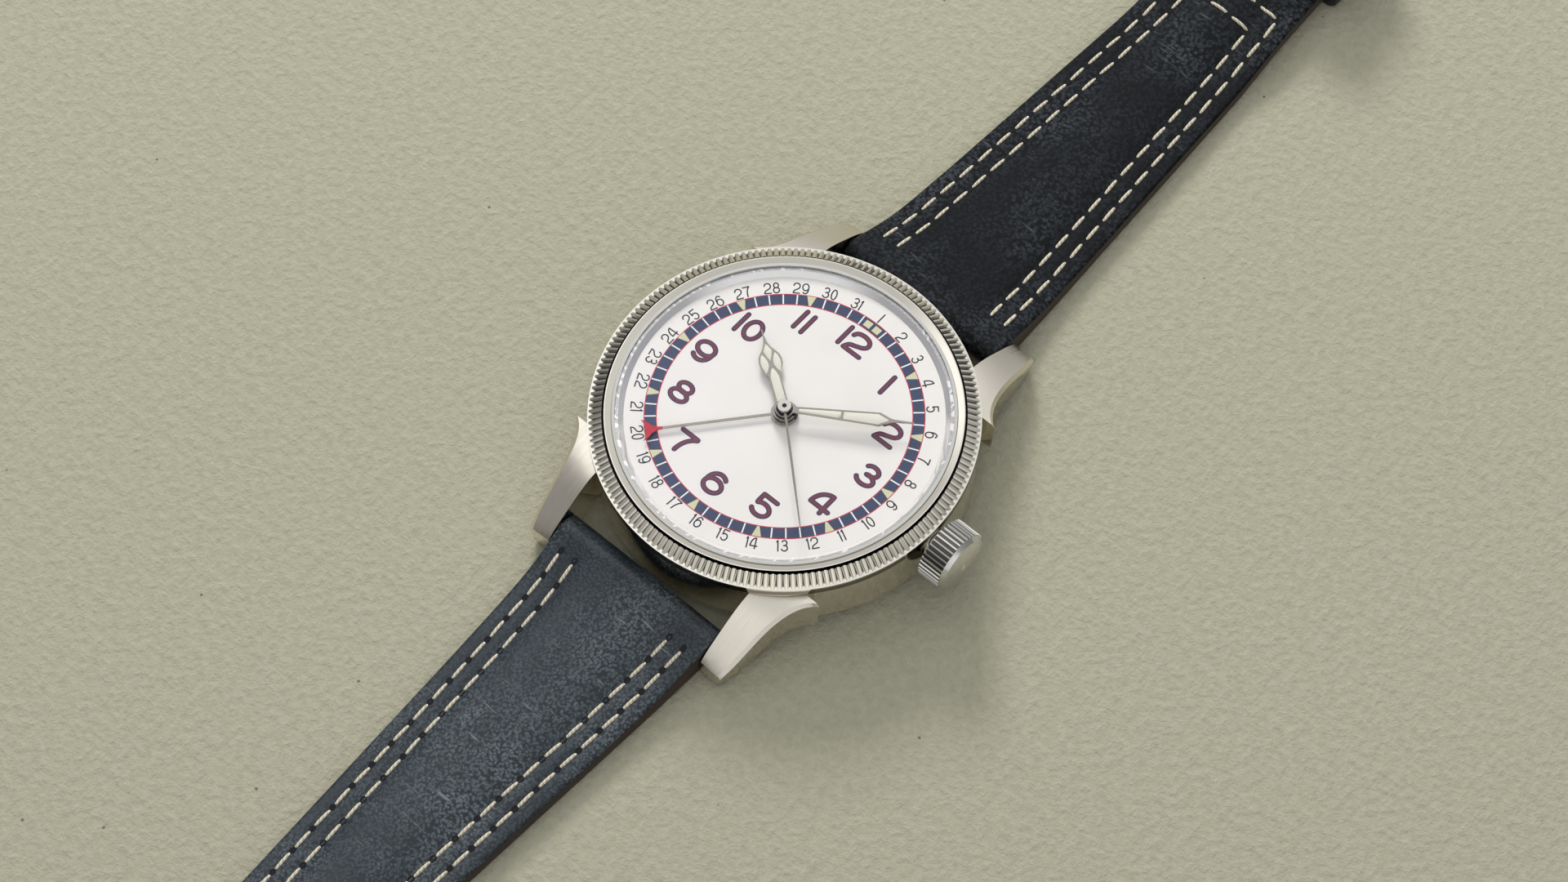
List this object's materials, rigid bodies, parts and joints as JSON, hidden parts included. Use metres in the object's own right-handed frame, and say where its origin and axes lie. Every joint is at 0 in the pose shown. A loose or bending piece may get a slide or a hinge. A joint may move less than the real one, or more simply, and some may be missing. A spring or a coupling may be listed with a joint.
{
  "type": "pilot watch",
  "caption": "Round self-winding wristwatch with a coin-edge bezel, pointer date, cathedral hands and a padded leather strap with a pin buckle, laid open.",
  "frame": {"origin": "middle of the case back, on the surface that the watch lies on", "axes": "+Z leaves the dial, +Y points to 12 o'clock, +X to the crown"},
  "size_m": [0.0425, 0.2404, 0.0112],
  "materials": {
    "polished_steel": "polished, warm neutral",
    "case_steel": "brushed on the lugs, polished on the flank",
    "sapphire": "clear, domed",
    "back_glass": "clear, flat",
    "seal": "matte",
    "dial_white": "matte off-white lacquer with printed track and numerals",
    "hand_steel": "polished rims",
    "date_hand": "polished rod with a red tip",
    "plate_nickel": "nickelled and striped",
    "wheel_brass": "fine circular grain",
    "spring_steel": "fine ground",
    "ruby": "polished synthetic ruby",
    "screw_steel": "polished heads",
    "rotor_steel": "striped web, polished rim",
    "upper_leather": "grained dark blue, padded, with light stitches",
    "lining_leather": "smooth brown with a painted edge"
  },
  "bodies": {
    "case": {"case_middle": "case_steel", "bezel": "polished_steel", "crystal": "sapphire", "crystal_gasket": "seal", "rehaut": "polished_steel", "dial": "dial_white", "case_back": "case_steel", "case_back_glass": "back_glass", "case_back_gasket": "seal", "movement_ring": "plate_nickel", "casing_clamps": "spring_steel", "movement_screws": "screw_steel", "crown_tube": "polished_steel", "mainplate": "plate_nickel", "barrel_bridge": "plate_nickel", "train_bridge": "plate_nickel", "balance_cock": "plate_nickel", "pallet_bridge": "plate_nickel", "jewels": "ruby", "hairspring": "spring_steel", "click": "spring_steel", "date_jumper": "spring_steel", "spring_bars": "spring_steel"},
    "seconds": {"seconds_hand": "hand_steel", "seconds_wheel": "wheel_brass"},
    "minutes": {"minute_hand": "hand_steel", "centre_wheel": "wheel_brass"},
    "hours": {"hour_hand": "hand_steel", "hour_wheel": "wheel_brass"},
    "minute_works": {"minute_wheel": "wheel_brass"},
    "third": {"third_wheel": "wheel_brass"},
    "great": {"great_wheel": "wheel_brass"},
    "power": {"barrel": "wheel_brass", "mainspring": "spring_steel"},
    "escapement": {"escape_wheel": "spring_steel"},
    "day": {"day_wheel": "wheel_brass"},
    "date": {"date_hand": "date_hand", "date_wheel": "wheel_brass"},
    "balance": {"balance_wheel": "wheel_brass"},
    "fork": {"pallet_fork": "spring_steel"},
    "weight": {"rotor": "rotor_steel"},
    "weight_balls": {"rotor_balls": "polished_steel"},
    "reverser": {"reversing_wheel": "wheel_brass"},
    "winding": {"winding_pinion": "spring_steel"},
    "crown_and_stem": {"crown": "polished_steel", "stem": "spring_steel", "crown_gasket": "seal"},
    "clutch": {"sliding_pinion": "spring_steel"},
    "winding_wheel": {"crown_wheel": "spring_steel"},
    "ratchet": {"ratchet_wheel": "spring_steel"},
    "lever": {"setting_lever": "spring_steel"},
    "short_strap": {"short_leather": "upper_leather", "short_lining": "lining_leather", "fixed_keeper": "upper_leather", "buckle_bar": "spring_steel"},
    "long_strap": {"long_leather": "upper_leather", "long_lining": "lining_leather"},
    "loose_keeper": {"free_keeper": "upper_leather"},
    "buckle": {"buckle_frame": "polished_steel"},
    "tongue": {"buckle_tongue": "polished_steel"}
  },
  "joints": [
    {"name": "seconds_turn", "type": "hinge", "parent": "case", "child": "seconds", "pos_m": [0, 0, 0.008], "axis": [0, 0, -1], "continuous": true},
    {"name": "minutes_turn", "type": "hinge", "parent": "case", "child": "minutes", "pos_m": [0, 0, 0.008], "axis": [0, 0, -1], "continuous": true},
    {"name": "hours_turn", "type": "hinge", "parent": "case", "child": "hours", "pos_m": [0, 0, 0.008], "axis": [0, 0, -1], "continuous": true},
    {"name": "minute_works_turn", "type": "hinge", "parent": "case", "child": "minute_works", "pos_m": [0.00124, -0.00215, 0.007], "axis": [0, 0, -1], "continuous": true},
    {"name": "third_turn", "type": "hinge", "parent": "case", "child": "third", "pos_m": [-0.00329, -0.0012, 0.005], "axis": [0, 0, -1], "continuous": true},
    {"name": "great_turn", "type": "hinge", "parent": "case", "child": "great", "pos_m": [0.00088, 0.00339, 0.005], "axis": [0, 0, -1], "continuous": true},
    {"name": "barrel_turn", "type": "hinge", "parent": "case", "child": "power", "pos_m": [0.00476, 0.00567, 0.005], "axis": [0, 0, -1], "continuous": true},
    {"name": "escape_turn", "type": "hinge", "parent": "case", "child": "escapement", "pos_m": [0.00168, -0.00291, 0.005], "axis": [0, 0, -1], "continuous": true},
    {"name": "day_turn", "type": "hinge", "parent": "case", "child": "day", "pos_m": [-0.00515, 0.00298, 0.007], "axis": [0, 0, -1], "continuous": true},
    {"name": "date_turn", "type": "hinge", "parent": "case", "child": "date", "pos_m": [0, 0, 0.008], "axis": [0, 0, -1], "continuous": true},
    {"name": "balance_swing", "type": "hinge", "parent": "case", "child": "balance", "pos_m": [0.00385, -0.00667, 0.005], "axis": [0, 0, 1], "range_deg": [-270, 270], "stiffness_Nm_per_rad": 0.0000001},
    {"name": "fork_rock", "type": "hinge", "parent": "case", "child": "fork", "pos_m": [0.00261, -0.00451, 0.005], "axis": [0, 0, 1], "range_deg": [-4, 4]},
    {"name": "rotor_turn", "type": "hinge", "parent": "case", "child": "weight", "pos_m": [0, 0, 0.002], "axis": [0, 0, 1], "continuous": true},
    {"name": "ball_turn", "type": "hinge", "parent": "case", "child": "weight_balls", "pos_m": [0, 0, 0.002], "axis": [0, 0, 1], "continuous": true},
    {"name": "reverser_turn", "type": "hinge", "parent": "case", "child": "reverser", "pos_m": [-0.0042, 0.00113, 0.003], "axis": [0, 0, 1], "continuous": true},
    {"name": "crown_turn", "type": "hinge", "parent": "case", "child": "winding", "pos_m": [0.01, 0, 0.00534], "axis": [1, 0, 0], "continuous": true},
    {"name": "crown_pull", "type": "slide", "parent": "winding", "child": "crown_and_stem", "axis": [1, 0, 0], "range_m": [0, 0.0012]},
    {"name": "clutch_slide", "type": "slide", "parent": "winding", "child": "clutch", "axis": [1, 0, 0], "range_m": [-0.0006, 0]},
    {"name": "crown_wheel_turn", "type": "hinge", "parent": "case", "child": "winding_wheel", "pos_m": [0.0069, 0, 0.004], "axis": [0, 0, 1], "continuous": true},
    {"name": "ratchet_turn", "type": "hinge", "parent": "case", "child": "ratchet", "pos_m": [0.00476, 0.00567, 0.004], "axis": [0, 0, 1], "continuous": true},
    {"name": "lever_swing", "type": "hinge", "parent": "case", "child": "lever", "pos_m": [0.01075, 0.0026, 0.005], "axis": [0, 0, 1], "range_deg": [0, 26]},
    {"name": "short_strap_swing", "type": "hinge", "parent": "case", "child": "short_strap", "pos_m": [0, 0.0216, 0.0027], "axis": [1, 0, 0], "range_deg": [-90, 25]},
    {"name": "long_strap_swing", "type": "hinge", "parent": "case", "child": "long_strap", "pos_m": [0, -0.0216, 0.0027], "axis": [-1, 0, 0], "range_deg": [-90, 25]},
    {"name": "keeper_slide", "type": "slide", "parent": "short_strap", "child": "loose_keeper", "axis": [0, -1, 0], "range_m": [0, 0.006]},
    {"name": "buckle_swing", "type": "hinge", "parent": "short_strap", "child": "buckle", "pos_m": [0, 0.0916, 0.00235], "axis": [1, 0, 0], "range_deg": [-20, 75]},
    {"name": "tongue_swing", "type": "hinge", "parent": "buckle", "child": "tongue", "pos_m": [0, 0.0916, 0.00235], "axis": [1, 0, 0], "range_deg": [0, 40]}
  ],
  "couplings": [
    {"joint": "minutes_turn", "follows": "seconds_turn", "ratio": 0.016667},
    {"joint": "hours_turn", "follows": "seconds_turn", "ratio": 0.0013889},
    {"joint": "minute_works_turn", "follows": "seconds_turn", "ratio": -0.0055556},
    {"joint": "third_turn", "follows": "seconds_turn", "ratio": -0.13333},
    {"joint": "great_turn", "follows": "seconds_turn", "ratio": -0.0031073},
    {"joint": "barrel_turn", "follows": "seconds_turn", "ratio": 0.00038842},
    {"joint": "escape_turn", "follows": "seconds_turn", "ratio": -12},
    {"joint": "day_turn", "follows": "seconds_turn", "ratio": -0.00069444},
    {"joint": "ball_turn", "follows": "rotor_turn", "ratio": 0.38},
    {"joint": "reverser_turn", "follows": "rotor_turn", "ratio": -2},
    {"joint": "crown_wheel_turn", "follows": "crown_turn", "ratio": 0.44444},
    {"joint": "ratchet_turn", "follows": "crown_turn", "ratio": -0.25397},
    {"joint": "clutch_slide", "follows": "crown_pull", "ratio": -0.5},
    {"joint": "lever_swing", "follows": "crown_pull", "rad_per_m": 378}
  ]
}
